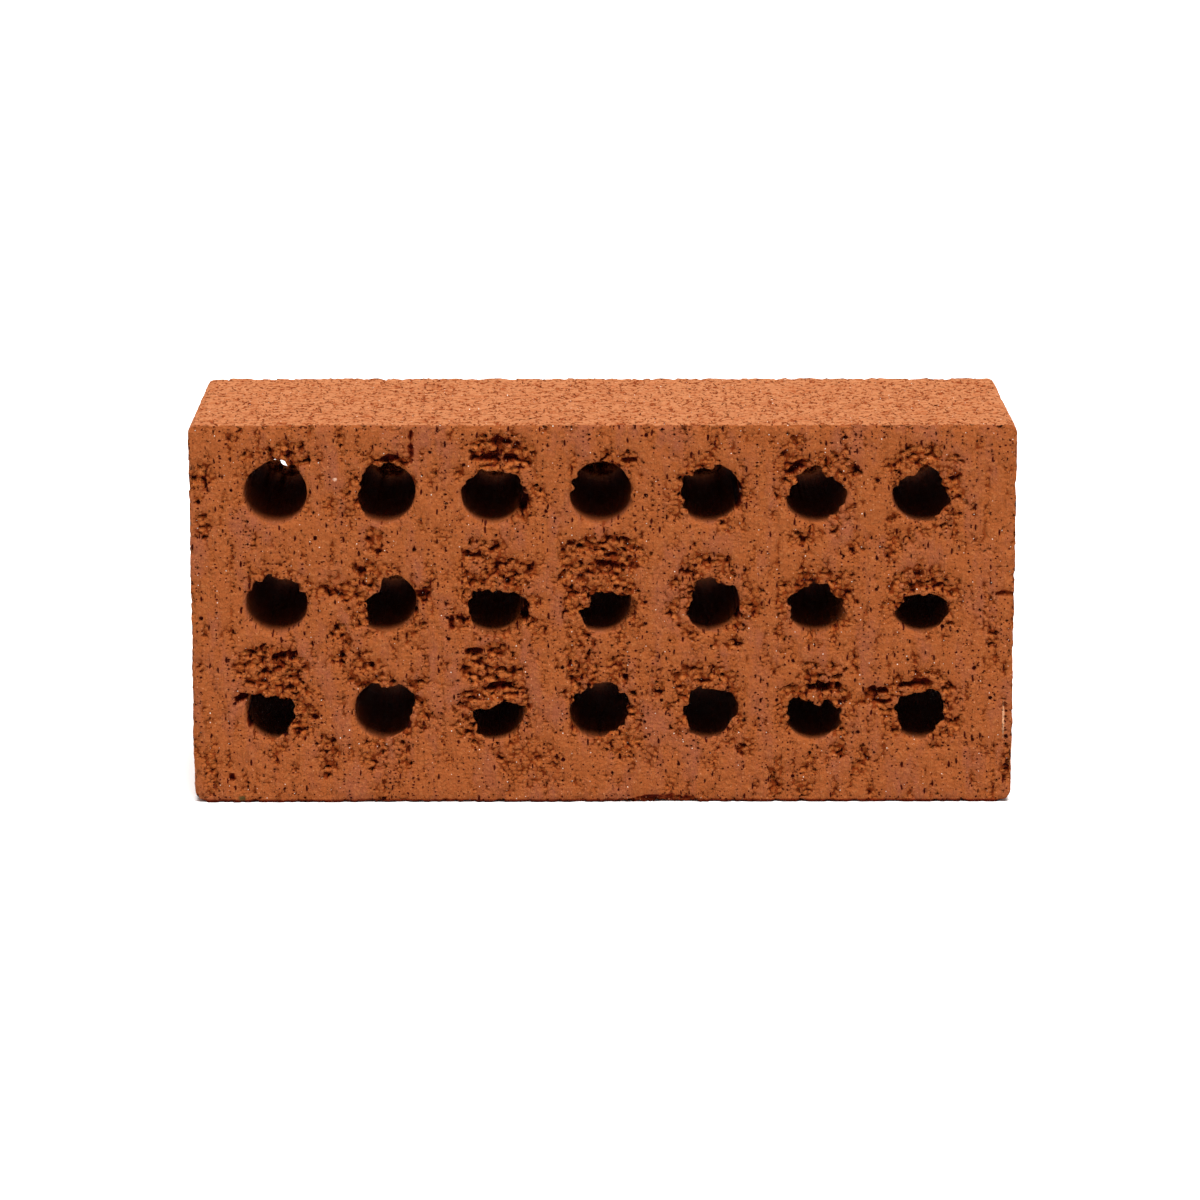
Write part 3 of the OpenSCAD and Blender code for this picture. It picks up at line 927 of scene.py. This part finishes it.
def addTones(tree, face, torn, crestHighlight, grog):
    # the clay's tones: the wire-cut faces with a painted highlight on the pellets' crowns, and the skin from
    # the die, then the grog, and last painted shade in the bores and deep slots
    size = (1 / clay["mauveWide"], 1 / clay["mauveWide"], 1 / clay["mauveHigh"])
    stretched = addNode(tree, "VectorMath", {0: face["inMm"], 1: size}, "MULTIPLY")
    burnt = addNode(tree, "TexNoise", {"Vector": stretched, "Scale": 1.0, "Detail": 5.0,
        "Roughness": 0.6})
    mauveShare = addNode(tree, "MapRange", {"Value": burnt, "From Min": 0.48, "From Max": 0.66,
        "To Min": 0.0, "To Max": clay["mauveShare"]})
    tornShare = addNode(tree, "MapRange", {"Value": torn, "From Min": 0.1, "From Max": 0.8, "To Min": 0.0,
        "To Max": clay["tornShare"]})
    # painted highlight: the crowns of the torn pellets take the lighter crest tone
    crestHighlightShare = addNode(tree, "Math", {0: crestHighlight, 1: clay["crestHighlightShare"]}, "MULTIPLY")
    shares = [(mauveShare, "mauve"), (tornShare, "torn"), (crestHighlightShare, "crestHighlight")]
    cut = layered(tree, linear(clay["body"]), shares)
    skinTone = addNode(tree, "TexNoise", {"Vector": face["inMm"], "Scale": 1 / clay["skinToneSize"],
        "Detail": 3.0})
    redShare = addNode(tree, "MapRange", {"Value": skinTone, "From Min": 0.45, "From Max": 0.7})
    skin = layered(tree, linear(clay["skin"]), [(redShare, "skinRed")])
    both = addNode(tree, "Mix", {"Factor": face["bed"], 6: skin, 7: cut}, data_type="RGBA")
    grogShare = addNode(tree, "MapRange", {"Value": grog, "From Min": 0.52, "From Max": 0.72,
        "To Min": 0.0, "To Max": clay["grogShare"]})
    # painted shade: the deeper a point lies under the faces, in the bores above all, the nearer it comes to
    # the deep tone
    inside = addNode(tree, "MapRange", {"Value": face["anyGap"], "From Min": clay["recessShadeFrom"],
        "From Max": clay["recessShadeTo"]})
    return layered(tree, both, [(grogShare, "pale"), (inside, "deep")])


def addFootShade(tree, face):
    # painted shade on the underside and along the lowest mm of the faces, where the brick meets the ground
    foot = addNode(tree, "MapRange", {"Value": face["gaps"][2], "From Min": 0.2, "From Max": 1.0,
        "To Min": clay["footShade"], "To Max": 0.0})
    below = addNode(tree, "Math", {0: face["signs"][2], 1: -1.0}, "MULTIPLY", use_clamp=True)
    return addNode(tree, "Math", {0: foot, 1: below}, "MULTIPLY")


def addGrains(tree, face, name):
    # single grains of one kind in the skin, 1 inside and 0 outside
    cell = clay[name + "Cell"]
    grains = addPores(tree, face["flat"], cell, cell, clay[name + "Chance"], clay[name + "Radius"])
    return addNode(tree, "Math", {0: grains, 1: face["skin"]}, "MULTIPLY")


def addRoughness(tree, face, grog):
    # the fine unevenness of the surface: rounded lumps, grog, and upright combing by the wire
    size = (1 / clay["combWide"], 1 / clay["combHigh"], 1)
    combed = addNode(tree, "VectorMath", {0: face["flat"], 1: size}, "MULTIPLY")
    comb = addNode(tree, "TexNoise", {"Vector": combed, "Scale": 1.0, "Detail": 2.0},
        noise_dimensions="2D")
    combHere = addNode(tree, "Math", {0: comb, 1: face["bedStep"]}, "MULTIPLY")
    lumps = addNode(tree, "TexNoise", {"Vector": face["inMm"], "Scale": 1 / clay["lumpSize"],
        "Detail": 2.0})
    uneven = addNode(tree, "Math", {0: lumps, 1: clay["lumpShare"], 2: grog}, "MULTIPLY_ADD")
    grain = addNode(tree, "Math", {0: combHere, 1: clay["combShare"], 2: uneven}, "MULTIPLY_ADD")
    return addNode(tree, "Math", {0: grain, 1: clay["grain"]}, "MULTIPLY")


def firedClay():
    # red brick clay, extruded, wire-cut and fired unglazed: matt and open-pored, with a painted highlight on
    # the crowns of the torn crumbs, painted shade in the pores and a paler, crackled skin where it slid
    # along the die
    material = bpy.data.materials.new("firedClay")
    material.use_nodes = True
    tree = material.node_tree
    shader = tree.nodes["Principled BSDF"]
    shader.inputs["Roughness"].default_value = clay["roughness"]
    shader.inputs["Specular IOR Level"].default_value = clay["specular"]
    coords = addNode(tree, "TexCoord").outputs["Object"]
    torn = addNode(tree, "Attribute", attribute_name="torn").outputs["Fac"]
    slot = addNode(tree, "Attribute", attribute_name="slot").outputs["Fac"]
    face = addFace(tree, coords)
    skin = addClaySkin(tree, face, torn)
    grog = addNode(tree, "TexNoise", {"Vector": face["inMm"], "Scale": 1 / clay["grogSize"],
        "Detail": 2.0})
    tones = addTones(tree, face, torn, skin["crestHighlight"], grog)
    # light that reaches a pore has bounced off clay more than once, so it comes back darker and redder
    hidden = addNode(tree, "Math", {0: skin["dark"], 1: slot}, "MAXIMUM")
    dark = addNode(tree, "Math", {0: hidden, 1: addFootShade(tree, face)}, "MAXIMUM")
    gamma = addNode(tree, "Math", {0: dark, 1: clay["shadeGamma"], 2: 1.0}, "MULTIPLY_ADD")
    shaded = addNode(tree, "Gamma", {"Color": tones, "Gamma": gamma})
    # crushed grog shows as pale grains, and a few grains of quartz stay white
    grainShare = addNode(tree, "Math", {0: addGrains(tree, face, "grain"), 1: clay["grainShare"]},
        "MULTIPLY")
    grainy = layered(tree, shaded, [(grainShare, "grains"), (addGrains(tree, face, "quartz"), "quartz")])
    wander = addNode(tree, "TexNoise", {"Vector": face["inMm"], "Scale": 1 / clay["grogSize"],
        "Detail": 1.0})
    colour = addMarks(tree, face, wander, grainy)
    tree.links.new(colour.outputs[2], shader.inputs["Base Color"])
    height = addNode(tree, "Math", {0: addRoughness(tree, face, grog), 1: skin["depth"]}, "SUBTRACT")
    bump = addNode(tree, "Bump", {"Strength": 1.0, "Distance": clay["bump"] * mm, "Height": height})
    tree.links.new(bump.outputs[0], shader.inputs["Normal"])
    return material


brick.data.materials.clear()
brick.data.materials.append(firedClay())
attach(brick, "root")
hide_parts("brick")
report("fired clay")
